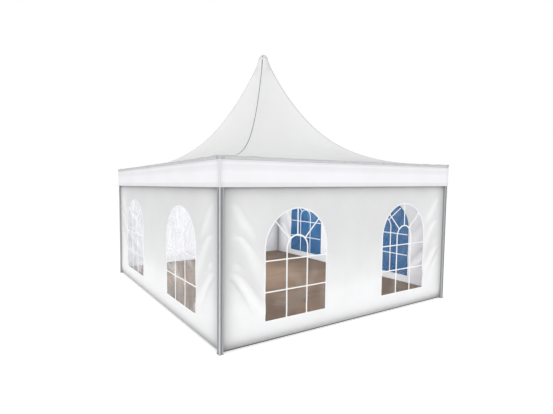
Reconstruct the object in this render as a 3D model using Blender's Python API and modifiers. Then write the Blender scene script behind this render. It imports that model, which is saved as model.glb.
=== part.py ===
"""Pagoda marquee, 5 m square: an aluminium frame with a floating mast on crossed stays, a concave
peaked roof of four gores, a fascia band, walls with arched clear windows, a zipped back wall and a
raised wooden floor.

Metres, +Z up. The origin is on the ground under the mast, and the front wall faces -Y. Each side of
the tent is built as the front side and turned about the mast, and so is each corner: corner k is at
the left end of side k, seen from outside.
"""

import math

import bmesh
import bpy
from mathutils import Matrix, Vector

# Driving dimensions
SIDE = 5.0  # across the outer faces of the eave beams
LEG = 0.065
LEG_PROUD = 0.018  # how far the legs stand out past the beams' faces, close behind the fascia
GAP = 0.0003  # between pieces that touch
HALF_GAP = 0.0002  # on each side of a joint in the cloth
LEG_NOSE = 0.011  # the outer corner's radius
CHANNEL_WIDTH = 0.026  # in each outer face of a leg
CHANNEL_DEPTH = 0.007
CHANNEL_TAPER = 0.002
LEG_ROUND = 0.003  # beside the walls
LEG_INNER_ROUND = 0.006
FOOT_THICK = 0.010
FOOT_WIDTH = 0.070
BEAM_BOTTOM = 2.430
BEAM_TOP = 2.573
LIP_REACH = 0.030  # of the eave beam's lip, beyond its face
LIP_HEIGHT = 0.040
LIP_ROUND = 0.010
LIP_PROUD = 0.003  # how far the lip stands out past the fascia and the roof's edge
CLOTH = 0.004  # walls, fascia and roof
FILM = 0.002  # window film
WALL_BACK = 0.0305  # from the legs' outer faces to the middle of the wall cloth
WALL_BOTTOM = 0.035
SLOT_DEPTH = 0.010
SLOT_BITE = 0.006  # how far the cloth's edge reaches into its slot
FASCIA_BOTTOM = 2.180
WINDOW_NEAR = 1.190  # from a wall's middle to its window towards the front or left
WINDOW_FAR = 1.280  # and to the other one
WINDOW_WIDTH = 1.156
WINDOW_SILL = 0.300
WINDOW_SPRING = 1.294
FILM_LAP = 0.025
DECK_TOP = 0.140
DECK_THICK = 0.021
DECK_SEAM = 0.003
JOIST = 0.045
JOIST_BAYS = 12
RAIL_WIDTH = 0.030
RAIL_BOTTOM = 0.032
RAIL_TOP = 0.080
MAST_RADIUS = 0.030
HUB_BOTTOM = 2.255
HUB_TOP = 2.315
HUB_FLAT = 0.070  # from the hub's axis to its flats
HEAD_PROUD = 0.010  # how far a corner head reaches past its leg, so that the eye clears the beams
HEAD_DROP = 0.002  # from the beams' top to the head's
EYE_LENGTH = 0.050
EYE_HEIGHT = 0.060
EYE_THICK = 0.014
EYE_ROOT = 0.020  # inside the head
STAY_HIGH = 2.480  # at the corner
STAY_LOW = 2.285  # at the hub
STAY_CLEAR = 0.0011  # at each end of a stay, whose ends are square to its slope
CABLE_RADIUS = 0.005
FITTING_RADIUS = 0.011
TURNBUCKLE_RADIUS = 0.014
CAP_RADIUS = 0.098
CAP_BOTTOM = 4.9005
CAP_TOP = 4.986
CAP_RIM = 0.016

# The roof's hip, from the mast to the eave corner: distance from the mast and height. The five
# points are the handles of one Bezier curve.
ROOF_CLEAR = 0.0007  # between the roof's inner skin and the beams
EAVE_HEIGHT = BEAM_TOP + ROOF_CLEAR + CLOTH
EAVE_REACH = (SIDE / 2 + LIP_REACH - LIP_PROUD) * math.sqrt(2)
PEAK_RADIUS = 0.093
HIP_HANDLES = (
    (PEAK_RADIUS, 4.900),
    (0.125, 4.645),
    (1.054, 3.044),
    (1.574, 2.624),
    (EAVE_REACH, EAVE_HEIGHT),
)
ROOF_ROWS = 16
ROOF_COLUMNS = 10
ROOF_HOLLOW = 0.055  # how far a side of the roof draws in between its hips, as a share of its distance
ROUND_TO_SQUARE = (0.095, 0.24)  # distances from the mast between which the sections go square

HALF = SIDE / 2
LEG_OUTER = HALF + LEG_PROUD
LEG_MIDDLE = LEG_OUTER - LEG / 2
LEG_INNER = LEG_OUTER - LEG
WALL_PLANE = LEG_OUTER - WALL_BACK
LEG_TOP = BEAM_BOTTOM + SLOT_BITE
BETWEEN_LEGS = LEG_INNER - GAP
HEAD_INNER = LEG_INNER - HEAD_PROUD
FLOOR_NOTCH = LEG_MIDDLE - FOOT_WIDTH / 2 - GAP  # the floor's corners clear the feet

SIDES = ("front", "right", "back", "left")
CORNERS = ("front_left", "front_right", "back_right", "back_left")

# Middles of the windows of each windowed wall, along the side
WINDOWS = {
    "front": {"left": -WINDOW_NEAR, "right": WINDOW_FAR},
    "right": {"front": -WINDOW_NEAR, "back": WINDOW_FAR},
    "left": {"back": -WINDOW_FAR, "front": WINDOW_NEAR},
}

# A section drawn outwards and upwards, extruded along the side
ALONG_SIDE = Matrix(((0, 0, -1), (-1, 0, 0), (0, 1, 0))).to_euler()
# An outline drawn along the side and upwards, extruded outwards
FACING_OUT = (math.radians(90), 0, 0)


def clear_scene():
    for thing in list(bpy.data.objects):
        bpy.data.objects.remove(thing, do_unlink=True)


def collection(name, hidden=False):
    made = bpy.data.collections.new(name)
    made.hide_render = hidden
    bpy.context.scene.collection.children.link(made)
    return made


def material(name, colour, roughness, metallic=0.0, alpha=1.0):
    made = bpy.data.materials.get(name)
    if made:
        return made
    made = bpy.data.materials.new(name)
    made.use_nodes = True
    shader = made.node_tree.nodes["Principled BSDF"]
    shader.inputs["Base Color"].default_value = (*colour, 1.0)
    shader.inputs["Roughness"].default_value = roughness
    shader.inputs["Metallic"].default_value = metallic
    shader.inputs["Alpha"].default_value = alpha
    made.diffuse_color = (*colour, alpha)
    return made


def aluminium():
    return material("anodised_aluminium", (0.42, 0.42, 0.43), 0.38, 0.9)


def steel():
    return material("galvanised_steel", (0.55, 0.56, 0.57), 0.42, 0.9)


def cloth():
    return material("white_coated_cloth", (0.86, 0.86, 0.87), 0.45)


def clear_film():
    return material("clear_window_film", (0.92, 0.93, 0.94), 0.08, 0.0, 0.25)


def blue_film():
    return material("blue_window_film", (0.09, 0.19, 0.38), 0.10, 0.0, 0.75)


def plywood():
    return material("brown_plywood", (0.36, 0.27, 0.21), 0.45)


def timber():
    return material("softwood", (0.55, 0.42, 0.28), 0.70)


def place(thing, name, finish, where, location=(0, 0, 0), rotation=(0, 0, 0), parent=None):
    thing.name = name
    if not thing.data.materials:
        thing.data.materials.append(finish)
    where.objects.link(thing)
    thing.location = location
    thing.rotation_euler = rotation
    thing.parent = parent
    return thing


def extruded(name, loops, thickness):
    """A flat outline, with any holes as further loops, extruded by half its thickness each way."""
    curve = bpy.data.curves.new(name, "CURVE")
    curve.dimensions = "2D"
    curve.fill_mode = "BOTH"
    curve.extrude = thickness / 2
    for loop in loops:
        spline = curve.splines.new("POLY")
        spline.points.add(len(loop) - 1)
        for point, (x, y) in zip(spline.points, loop):
            point.co = (x, y, 0, 1)
        spline.use_cyclic_u = True
    return bpy.data.objects.new(name, curve)


def rectangle(low_x, low_y, high_x, high_y):
    return [(low_x, low_y), (high_x, low_y), (high_x, high_y), (low_x, high_y)]


def arc(centre, radius, start, end, steps):
    """Points on a round stretch, with angles in degrees."""
    turns = [math.radians(start + (end - start) * i / steps) for i in range(steps + 1)]
    return [(centre[0] + radius * math.cos(a), centre[1] + radius * math.sin(a)) for a in turns]


def block(name, low, high):
    mesh = bpy.data.meshes.new(name)
    shape = bmesh.new()
    bmesh.ops.create_cube(shape, size=1.0)
    size = Vector(high) - Vector(low)
    bmesh.ops.scale(shape, vec=size, verts=shape.verts)
    bmesh.ops.translate(shape, vec=(Vector(high) + Vector(low)) / 2, verts=shape.verts)
    shape.to_mesh(mesh)
    shape.free()
    return bpy.data.objects.new(name, mesh)


def as_mesh(curve_object):
    """The same solid as a mesh, with its caps welded to its sides, so that it can be cut or joined."""
    bpy.context.view_layer.update()
    graph = bpy.context.evaluated_depsgraph_get()
    mesh = bpy.data.meshes.new_from_object(curve_object.evaluated_get(graph))
    shape = bmesh.new()
    shape.from_mesh(mesh)
    bmesh.ops.remove_doubles(shape, verts=shape.verts, dist=0.00002)
    bmesh.ops.recalc_face_normals(shape, faces=shape.faces)
    shape.to_mesh(mesh)
    shape.free()
    made = bpy.data.objects.new(curve_object.name, mesh)
    made.matrix_world = curve_object.matrix_world
    bpy.data.objects.remove(curve_object, do_unlink=True)
    return made


def join(thing, other, helpers):
    """Joins another object to a mesh object by a Boolean union, and keeps the other as a hidden helper."""
    if other.name not in helpers.objects:
        helpers.objects.link(other)
    other.hide_render = True
    other.display_type = "WIRE"
    union = thing.modifiers.new("join_" + other.name, "BOOLEAN")
    union.operation = "UNION"
    union.solver = "EXACT"
    union.object = other


def turned(name, profile, steps):
    """A turned solid about its Z axis: the profile is (radius, height), from top to bottom."""
    mesh = bpy.data.meshes.new(name)
    shape = bmesh.new()
    points = [shape.verts.new((radius, 0, height)) for radius, height in profile]
    for first, second in zip(points, points[1:]):
        shape.edges.new((first, second))
    shape.to_mesh(mesh)
    shape.free()
    made = bpy.data.objects.new(name, mesh)
    screw = made.modifiers.new("turn", "SCREW")
    screw.steps = steps
    screw.render_steps = steps
    screw.use_merge_vertices = True
    screw.merge_threshold = 0.00002
    screw.use_smooth_shade = True
    return made


# Frame


def leg_section():
    """Half of the leg's outline, from the outer nose to the inner corner, mirrored about the diagonal."""
    half, channel = LEG / 2, CHANNEL_WIDTH / 2
    channel_floor = channel - CHANNEL_TAPER
    slot_middle = -(half - WALL_BACK)
    slot_half = CLOTH / 2 + GAP
    first = arc((-half + LEG_NOSE, -half + LEG_NOSE), LEG_NOSE, 225, 270, 4)
    first += [(-channel, -half), (-channel_floor, -half + CHANNEL_DEPTH)]
    first += [(channel_floor, -half + CHANNEL_DEPTH), (channel, -half)]
    first += arc((half - LEG_ROUND, -half + LEG_ROUND), LEG_ROUND, 270, 360, 2)
    first += [(half, slot_middle - slot_half), (half - SLOT_DEPTH, slot_middle - slot_half)]
    first += [(half - SLOT_DEPTH, slot_middle + slot_half), (half, slot_middle + slot_half)]
    inner = half - LEG_INNER_ROUND
    first += arc((inner, inner), LEG_INNER_ROUND, 0, 45, 2)
    second = [(y, x) for x, y in reversed(first)]
    return first + second[1:-1]


def make_legs(parts, sides):
    height = LEG_TOP - FOOT_THICK - GAP
    middle = FOOT_THICK + GAP + height / 2
    at = -LEG_MIDDLE
    for side, corner in zip(sides, CORNERS):
        leg = extruded(corner + "_leg", [leg_section()], height)
        place(leg, corner + "_leg", aluminium(), parts, (at, at, middle), parent=side)


def make_feet(parts, sides):
    reach = FOOT_WIDTH / 2
    at = -LEG_MIDDLE
    for side, corner in zip(sides, CORNERS):
        foot = block(corner + "_foot", (-reach, -reach, 0), (reach, reach, FOOT_THICK))
        place(foot, corner + "_foot", steel(), parts, (at, at, 0), parent=side)


def beam_section():
    """The eave beam's outline, outwards and upwards: a box with a keder lip, and the wall's slot below."""
    slot_half = CLOTH / 2 + GAP
    lip_end = HALF + LIP_REACH
    lip_bottom = BEAM_TOP - LIP_HEIGHT
    outline = [(LEG_INNER, BEAM_BOTTOM)]
    outline += [(WALL_PLANE - slot_half, BEAM_BOTTOM)]
    outline += [(WALL_PLANE - slot_half, BEAM_BOTTOM + SLOT_DEPTH)]
    outline += [(WALL_PLANE + slot_half, BEAM_BOTTOM + SLOT_DEPTH)]
    outline += [(WALL_PLANE + slot_half, BEAM_BOTTOM)]
    outline += [(HALF, BEAM_BOTTOM), (HALF, lip_bottom)]
    outline += arc((lip_end - LIP_ROUND, lip_bottom + LIP_ROUND), LIP_ROUND, -90, 0, 3)
    outline += arc((lip_end - LIP_ROUND, BEAM_TOP - LIP_ROUND), LIP_ROUND, 0, 90, 3)
    outline += [(LEG_INNER, BEAM_TOP)]
    return outline


def make_beams(parts, sides):
    for side, name in zip(sides, SIDES):
        beam = extruded(name + "_eave_beam", [beam_section()], 2 * (HEAD_INNER - GAP))
        place(beam, name + "_eave_beam", aluminium(), parts, rotation=ALONG_SIDE, parent=side)


def make_corner_heads(parts, helpers, sides):
    """Each head joins two eave beams over a leg, carries the lip round the corner and holds a stay's eye."""
    bottom = LEG_TOP + GAP
    lip_bottom = BEAM_TOP - LIP_HEIGHT
    for side, corner in zip(sides, CORNERS):
        name = corner + "_corner_head"
        head = block(name, (-HALF, -HALF, bottom), (-HEAD_INNER, -HEAD_INNER, BEAM_TOP - HEAD_DROP))
        outline = arc((-HALF, -HALF), LIP_REACH, 180, 270, 8)
        outline += [(-HEAD_INNER, -HALF - LIP_REACH), (-HEAD_INNER, -HEAD_INNER)]
        outline += [(-HALF - LIP_REACH, -HEAD_INNER)]
        lip = extruded(corner + "_lip", [outline], LIP_HEIGHT)
        lip.location.z = lip_bottom + LIP_HEIGHT / 2
        helpers.objects.link(lip)
        lip = as_mesh(lip)
        low = (-EYE_ROOT, -EYE_THICK / 2, -EYE_HEIGHT / 2)
        eye = block(corner + "_eye", low, (EYE_LENGTH, EYE_THICK / 2, EYE_HEIGHT / 2))
        eye.location = (-HEAD_INNER, -HEAD_INNER, STAY_HIGH)
        eye.rotation_euler.z = math.radians(45)
        lip.parent = eye.parent = side
        join(head, lip, helpers)
        join(head, eye, helpers)
        place(head, name, aluminium(), parts, parent=side)


def make_mast(parts):
    length = CAP_BOTTOM - GAP - (HUB_TOP + GAP)
    rod = bpy.data.meshes.new("mast")
    shape = bmesh.new()
    bmesh.ops.create_cone(
        shape, cap_ends=True, segments=20, radius1=MAST_RADIUS, radius2=MAST_RADIUS, depth=length
    )
    shape.to_mesh(rod)
    shape.free()
    mast = bpy.data.objects.new("mast", rod)
    place(mast, "mast", aluminium(), parts, (0, 0, HUB_TOP + GAP + length / 2))


def make_mast_hub(parts):
    """The eight-sided foot of the mast, which hangs on the stays, with flats square to them."""
    across_points = HUB_FLAT / math.cos(math.pi / 8)
    mesh = bpy.data.meshes.new("mast_hub")
    shape = bmesh.new()
    bmesh.ops.create_cone(
        shape,
        cap_ends=True,
        segments=8,
        radius1=across_points,
        radius2=across_points,
        depth=HUB_TOP - HUB_BOTTOM,
    )
    shape.to_mesh(mesh)
    shape.free()
    hub = bpy.data.objects.new("mast_hub", mesh)
    turn = (0, 0, math.radians(22.5))
    place(hub, "mast_hub", steel(), parts, (0, 0, (HUB_TOP + HUB_BOTTOM) / 2), turn)


def make_mast_cap(parts):
    """The domed plate on the mast, over the roof's peak ring."""
    rim_top = CAP_BOTTOM + CAP_RIM
    steps = 7
    profile = [(0, CAP_TOP)]
    for step in range(1, steps + 1):
        turn = math.radians(90 * step / steps)
        height = rim_top + (CAP_TOP - rim_top) * math.cos(turn)
        profile.append((CAP_RADIUS * math.sin(turn), height))
    profile += [(CAP_RADIUS, CAP_BOTTOM), (0, CAP_BOTTOM)]
    place(turned("mast_cap", profile, 24), "mast_cap", aluminium(), parts)


def stay_profile(length):
    """A cable with a swaged fitting at each end and a turnbuckle near the hub, which is at the bottom."""
    fitting = 0.10
    buckle_low, buckle_high = 0.16, 0.40
    taper = 0.012
    profile = [(0, length), (FITTING_RADIUS, length), (FITTING_RADIUS, length - fitting)]
    profile += [(CABLE_RADIUS, length - fitting - taper), (CABLE_RADIUS, buckle_high + taper)]
    profile += [(TURNBUCKLE_RADIUS, buckle_high), (TURNBUCKLE_RADIUS, buckle_low)]
    profile += [(CABLE_RADIUS, buckle_low - taper), (CABLE_RADIUS, fitting + taper)]
    profile += [(FITTING_RADIUS, fitting), (FITTING_RADIUS, 0), (0, 0)]
    return profile


def make_stays(parts, sides):
    """One taut cable from each corner head to the hub, rising outwards along the diagonal."""
    near, far = HUB_FLAT + STAY_CLEAR, HEAD_INNER * math.sqrt(2) - EYE_LENGTH - STAY_CLEAR
    run, rise = far - near, STAY_HIGH - STAY_LOW
    length = math.hypot(run, rise)
    lean = math.atan2(run, rise)
    start = -near / math.sqrt(2)
    for side, corner in zip(sides, CORNERS):
        stay = turned(corner + "_stay", stay_profile(length), 10)
        turn = (0, lean, math.radians(225))
        place(stay, corner + "_stay", steel(), parts, (start, start, STAY_LOW), turn, side)


# Roof


def hip_point(t):
    """A point of the hip and its slope there: distance from the mast, height, and their rates."""
    order = len(HIP_HANDLES) - 1
    point, rate = Vector((0, 0)), Vector((0, 0))
    for i, handle in enumerate(HIP_HANDLES):
        point += Vector(handle) * math.comb(order, i) * (1 - t) ** (order - i) * t**i
    for i in range(order):
        step = Vector(HIP_HANDLES[i + 1]) - Vector(HIP_HANDLES[i])
        rate += step * order * math.comb(order - 1, i) * (1 - t) ** (order - 1 - i) * t**i
    return point, rate


def roof_section(reach, height, along, share):
    """A point of the front gore at this distance of its hips: along runs from -1 to 1, and share is how
    far down the hip the section is."""
    low, high = ROUND_TO_SQUARE
    square = min(1, max(0, (reach - low) / (high - low)))
    square = square * square * (3 - 2 * square)
    flat = reach / math.sqrt(2)
    drawn_in = ROOF_HOLLOW * 4 * share * (1 - share) * (1 - along * along)
    turn = math.radians(45) * along
    x = square * flat * along + (1 - square) * reach * math.sin(turn)
    y = square * flat * (1 - drawn_in) + (1 - square) * reach * math.cos(turn)
    return (x, -y, height)


def roof_grid(shape, depth):
    """One skin of the front gore, this far inside the outer one, as rows of vertices."""
    rows = []
    for row in range(ROOF_ROWS + 1):
        share = row / ROOF_ROWS
        (reach, height), (run, fall) = hip_point(share)
        inward = Vector((fall, -run * math.sqrt(2) / 2)).normalized() * depth
        reach += inward.x * math.sqrt(2)
        height += inward.y
        steps = [2 * i / ROOF_COLUMNS - 1 for i in range(ROOF_COLUMNS + 1)]
        rows.append([shape.verts.new(roof_section(reach, height, u, share)) for u in steps])
    return rows


def make_roof(parts, sides):
    """Four gores, each a loft from the round peak ring to the straight eave, with mitred hips."""
    for side, name in zip(sides, SIDES):
        mesh = bpy.data.meshes.new(name + "_roof_panel")
        shape = bmesh.new()
        outer, inner = roof_grid(shape, 0), roof_grid(shape, CLOTH)
        for grid in (outer, inner):
            for upper, lower in zip(grid, grid[1:]):
                for i in range(ROOF_COLUMNS):
                    shape.faces.new((upper[i], lower[i], lower[i + 1], upper[i + 1]))
        rims = [(outer[0], inner[0]), (outer[-1], inner[-1])]
        rims += [([row[i] for row in outer], [row[i] for row in inner]) for i in (0, -1)]
        for rim, other in rims:
            for i in range(len(rim) - 1):
                shape.faces.new((rim[i], rim[i + 1], other[i + 1], other[i]))
        bmesh.ops.recalc_face_normals(shape, faces=shape.faces)
        shape.to_mesh(mesh)
        shape.free()
        mesh.shade_smooth()
        mesh.set_sharp_from_angle(angle=math.radians(30))
        gore = bpy.data.objects.new(name + "_roof_panel", mesh)
        place(gore, name + "_roof_panel", cloth(), parts, (0, -HALF_GAP, 0), parent=side)


def make_fascia(parts, sides):
    """A band of cloth on each side, hanging from the lip and turned half way round both corners."""
    outer = LIP_REACH - LIP_PROUD
    inner = outer - CLOTH
    trim = math.degrees(HALF_GAP / inner)
    top = BEAM_TOP - LIP_HEIGHT - GAP
    height = top - FASCIA_BOTTOM
    left, right = (-HALF, -HALF), (HALF, -HALF)
    for side, name in zip(sides, SIDES):
        outline = arc(left, outer, 225 + trim, 270, 4) + arc(right, outer, 270, 315 - trim, 4)
        outline += arc(right, inner, 315 - trim, 270, 4) + arc(left, inner, 270, 225 + trim, 4)
        band = extruded(name + "_fascia", [outline], height)
        place(band, name + "_fascia", cloth(), parts, (0, 0, FASCIA_BOTTOM + height / 2), parent=side)


# Walls and windows


def window_outline(centre, margin=0.0):
    """An arched window, drawn along the side and upwards."""
    reach = WINDOW_WIDTH / 2 + margin
    sill = WINDOW_SILL - margin
    base = [(centre - reach, sill), (centre + reach, sill)]
    return base + arc((centre, WINDOW_SPRING), reach, 0, 180, 20)


def make_walls(parts, sides):
    """Windowed walls on three sides, and a plain back wall in two halves that a zip joins."""
    top = BEAM_BOTTOM + SLOT_BITE
    end = LEG_INNER + SLOT_BITE
    for side, name in zip(sides, SIDES):
        if name in WINDOWS:
            outline = rectangle(-end, WALL_BOTTOM, end, top)
            holes = [window_outline(centre) for centre in WINDOWS[name].values()]
            cloths = {name + "_wall": [outline] + holes}
        else:
            halves = {"right": (-end, -HALF_GAP), "left": (HALF_GAP, end)}
            cloths = {
                f"{name}_wall_{half}": [rectangle(low, WALL_BOTTOM, high, top)]
                for half, (low, high) in halves.items()
            }
        for wall_name, loops in cloths.items():
            wall = extruded(wall_name, loops, CLOTH)
            place(wall, wall_name, cloth(), parts, (0, -WALL_PLANE, 0), FACING_OUT, side)


def make_windows(parts, sides):
    """A film behind each window, lapped past its edge, tinted blue in the right wall."""
    plane = WALL_PLANE - CLOTH / 2 - GAP - FILM / 2
    for side, name in zip(sides, SIDES):
        for end, centre in WINDOWS.get(name, {}).items():
            film_name = f"{name}_wall_{end}_window"
            film = extruded(film_name, [window_outline(centre, FILM_LAP)], FILM)
            finish = blue_film() if name == "right" else clear_film()
            place(film, film_name, finish, parts, (0, -plane, 0), FACING_OUT, side)


# Base and floor


def rail_plane():
    """The inner face of the ground rails, which lie against the inside of the walls."""
    return WALL_PLANE - CLOTH / 2 - GAP - RAIL_WIDTH


def make_ground_rails(parts, sides):
    inner = rail_plane()
    for side, name in zip(sides, SIDES):
        low = (-BETWEEN_LEGS, -inner - RAIL_WIDTH, RAIL_BOTTOM)
        rail = block(name + "_ground_rail", low, (BETWEEN_LEGS, -inner, RAIL_TOP))
        place(rail, name + "_ground_rail", aluminium(), parts, parent=side)


def make_floor_frame(parts):
    """A grid of joists, notched round the legs."""
    edge, notch = rail_plane() - GAP, FLOOR_NOTCH
    height = DECK_TOP - DECK_THICK - GAP
    outline = []
    for x, y in ((-1, -1), (1, -1), (1, 1), (-1, 1)):
        corner = [(x * edge, y * notch), (x * notch, y * notch), (x * notch, y * edge)]
        outline += corner if x * y > 0 else corner[::-1]
    inside = notch - JOIST
    bay = (2 * inside - (JOIST_BAYS - 1) * JOIST) / JOIST_BAYS
    loops = [outline]
    for column in range(JOIST_BAYS):
        low = -inside + column * (bay + JOIST)
        loops.append(rectangle(low, -inside, low + bay, -JOIST / 2))
        loops.append(rectangle(low, JOIST / 2, low + bay, inside))
    frame = extruded("floor_frame", loops, height)
    place(frame, "floor_frame", timber(), parts, (0, 0, height / 2))


def make_deck(parts, sides):
    """Two plywood halves with a seam across the middle of the tent."""
    edge, notch = rail_plane() - GAP, FLOOR_NOTCH
    outline = [(-edge, -DECK_SEAM / 2), (-edge, -notch), (-notch, -notch), (-notch, -edge)]
    outline += [(-x, y) for x, y in reversed(outline)]
    for name, turn in (("front_deck", 0), ("back_deck", 180)):
        deck = extruded(name, [outline], DECK_THICK)
        rotation = (0, 0, math.radians(turn))
        place(deck, name, plywood(), parts, (0, 0, DECK_TOP - DECK_THICK / 2), rotation)


def main():
    clear_scene()
    parts = collection("pagoda_marquee")
    helpers = collection("helpers", hidden=True)
    sides = []
    for turn, name in enumerate(SIDES):
        side = bpy.data.objects.new(name + "_side", None)
        side.rotation_euler.z = math.radians(90 * turn)
        parts.objects.link(side)
        sides.append(side)
    make_feet(parts, sides)
    make_legs(parts, sides)
    make_beams(parts, sides)
    make_corner_heads(parts, helpers, sides)
    make_mast(parts)
    make_mast_hub(parts)
    make_mast_cap(parts)
    make_stays(parts, sides)
    make_roof(parts, sides)
    make_fascia(parts, sides)
    make_walls(parts, sides)
    make_windows(parts, sides)
    make_ground_rails(parts, sides)
    make_floor_frame(parts)
    make_deck(parts, sides)


main()
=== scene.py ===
"""Looks of the pagoda marquee: cloth with its creases and hems, window films and bars, the zip, the
finishes of the frame and floor, and a plain white studio."""

import math

import bpy
import numpy as np
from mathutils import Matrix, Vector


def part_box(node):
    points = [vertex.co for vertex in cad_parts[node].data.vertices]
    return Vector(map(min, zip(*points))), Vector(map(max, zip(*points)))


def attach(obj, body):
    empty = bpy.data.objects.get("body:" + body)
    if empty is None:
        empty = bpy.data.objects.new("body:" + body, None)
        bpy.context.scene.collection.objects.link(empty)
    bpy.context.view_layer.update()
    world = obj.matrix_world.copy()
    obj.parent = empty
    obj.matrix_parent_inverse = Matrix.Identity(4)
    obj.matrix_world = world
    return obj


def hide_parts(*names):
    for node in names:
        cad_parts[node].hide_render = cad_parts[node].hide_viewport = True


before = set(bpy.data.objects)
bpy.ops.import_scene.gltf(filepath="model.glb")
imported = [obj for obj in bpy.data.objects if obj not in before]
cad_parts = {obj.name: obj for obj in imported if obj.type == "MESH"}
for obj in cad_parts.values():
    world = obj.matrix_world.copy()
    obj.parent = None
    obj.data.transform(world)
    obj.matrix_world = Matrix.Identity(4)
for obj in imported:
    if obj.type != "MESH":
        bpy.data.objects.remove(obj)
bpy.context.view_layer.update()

# Metres, in the frame of the CAD. A side is drawn along, outwards and upwards, and turned to its place.
SIDES = ("front", "right", "back", "left")
CORNERS = ("front_left", "front_right", "back_right", "back_left")
HALF = 2.5
WALL_PLANE = 2.4875
WALL_END = 2.459
WALL_BOTTOM = 0.035
WALL_TOP = 2.436
CLOTH = 0.0012
FILM = 0.0005
FILM_PLANE = 2.4860
FILM_LAP = 0.025
SPRING = 1.294
SILL = 0.300
FASCIA_LOW = 2.180
FASCIA_HIGH = 2.5327
FASCIA_ROUND = 0.0255
# Painted shade on the fascia beside each rounded corner
CORNER_SHADE = 0.09
BEAM_TOP = 2.573
EAVE_HEIGHT = 2.5777
EAVE_REACH = 2.527 * math.sqrt(2)
HIP_HANDLES = (
    (0.093, 4.900),
    (0.125, 4.645),
    (1.054, 3.044),
    (1.574, 2.624),
    (EAVE_REACH, EAVE_HEIGHT),
)
ROOF_HOLLOW = 0.055
ROUND_TO_SQUARE = (0.095, 0.24)
DECK_TOP = 0.140
LEG_MIDDLE = 2.4855
# Middles of the arching figure in the boards: (x, y)
KNOTS = ((-0.52, -1.98), (1.45, -0.9), (-1.9, 0.9), (0.3, 1.5), (-1.5, -0.75))

# Ridges (above 0) and hollows (below 0) that run down a wall from each leg, as rows of
# (distance from the wall's end, height, half width, strength)
CREASES = (
    ((0.18, 2.00, 0.040, 0.0), (0.22, 1.93, 0.055, 0.7), (0.30, 1.79, 0.068, 0.9), (0.40, 1.65, 0.068, 0.8), (0.50, 1.52, 0.050, 0.4), (0.56, 1.42, 0.040, 0.0)),
    ((0.16, 1.57, 0.025, 0.0), (0.20, 1.54, 0.035, 1.2), (0.28, 1.50, 0.038, 1.2), (0.37, 1.40, 0.046, 1.0), (0.43, 1.32, 0.055, 0.8), (0.55, 1.12, 0.090, 0.5), (0.68, 0.86, 0.100, 0.1), (0.72, 0.75, 0.100, 0.0)),
    ((0.17, 1.44, 0.060, 0.0), (0.27, 1.28, 0.080, -0.5), (0.40, 1.04, 0.090, -0.9), (0.52, 0.84, 0.080, -0.9), (0.64, 0.64, 0.060, -0.6), (0.70, 0.52, 0.04, 0.0)),
    ((0.18, 1.21, 0.040, 0.0), (0.23, 1.16, 0.045, 0.8), (0.30, 1.09, 0.040, 0.5), (0.33, 1.05, 0.03, 0.0)),
    ((0.14, 1.08, 0.030, 0.0), (0.19, 1.04, 0.038, 1.2), (0.27, 0.96, 0.050, 1.4), (0.37, 0.83, 0.060, 1.5), (0.47, 0.71, 0.066, 1.3), (0.57, 0.59, 0.066, 1.0), (0.69, 0.42, 0.060, 0.5), (0.77, 0.30, 0.050, 0.0)),
    ((0.08, 1.01, 0.014, 0.0), (0.13, 0.97, 0.018, -1.2), (0.21, 0.89, 0.020, -1.5), (0.32, 0.74, 0.022, -1.2), (0.42, 0.57, 0.024, -0.7), (0.52, 0.38, 0.02, 0.0)),
    ((0.10, 0.88, 0.040, 0.0), (0.20, 0.76, 0.060, 0.6), (0.30, 0.55, 0.070, 0.5), (0.40, 0.34, 0.06, 0.0)),
)
CREASE_DEPTH = 0.014
# Painted shade of the cloth by height: darker higher up
BODY_HEIGHTS = (0.30, 0.55, 0.70, 0.80, 1.00, 1.20, 1.40, 2.10)
BODY_SHADES = (1.0, 0.99, 0.94, 0.915, 0.885, 0.855, 0.835, 0.83)
# Painted shade of each side's cloth, darkest on the left
SIDE_SHADES = (0.98, 0.97, 0.97, 0.945)
# Upright folds: along the side, low, high, depth, half width
FOLDS = ((-0.20, 0.37, 1.26, 0.0035, 0.05), (0.52, 0.25, 1.20, 0.0035, 0.05))
# Folds of the left wall's films: start and end from the window's middle, depth, half width
FILM_FOLDS = (
    ((-0.36, 1.62), (0.32, 0.42), 0.004, 0.03),
    ((-0.30, 0.50), (0.10, 1.72), 0.004, 0.03),
    ((0.09, 1.86), (0.09, 1.60), 0.004, 0.02),
)


def smooth_step(value):
    value = np.clip(value, 0, 1)
    return value * value * (3 - 2 * value)


def on_side(side, along, out, height):
    """Points of a side, turned to side 0 front, 1 right, 2 back or 3 left."""
    x, y, z = np.broadcast_arrays(along, -np.asarray(out, float), height)
    for _ in range(side):
        x, y = -y, x
    return np.stack([x, y, z], -1).astype(float)


def swell(along, height, seed, size):
    """Low, wide unevenness, as stretched cloth has."""
    rng = np.random.default_rng(seed)
    total = np.zeros(np.broadcast(along, height).shape)
    for _ in range(7):
        fast, turn = rng.uniform(1.2, 5.5), rng.uniform(0, math.tau)
        lean, phase = rng.uniform(-0.9, 0.9), rng.uniform(0, math.tau)
        total += np.sin(fast * (along + lean * height) + phase) * np.cos(1.7 * height + turn)
    return total * size / 7


def crease(along, height, start, end, depth, width):
    """A ridge between two points, with a hollow along its lower side."""
    run = np.subtract(end, start)
    length = math.hypot(*run)
    run = run / length
    there = (along - start[0]) * run[0] + (height - start[1]) * run[1]
    across = (height - start[1]) * run[0] - (along - start[0]) * run[1]
    fade = smooth_step(there / (0.45 * length)) * smooth_step((length - there) / (0.45 * length))
    ridge = np.exp(-((across / width) ** 2)) - 0.7 * np.exp(-(((across + 1.7 * width) / width) ** 2))
    return depth * fade * ridge


# Meshes


def grid_faces(rows, columns, closed=False):
    """Quads of a grid of points, whose columns close into a ring if asked."""
    index = np.arange(rows * columns).reshape(rows, columns)
    if closed:
        index = np.hstack([index, index[:, :1]])
    quads = np.stack([index[:-1, :-1], index[:-1, 1:], index[1:, 1:], index[1:, :-1]], -1)
    return quads.reshape(-1, 4)


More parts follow.
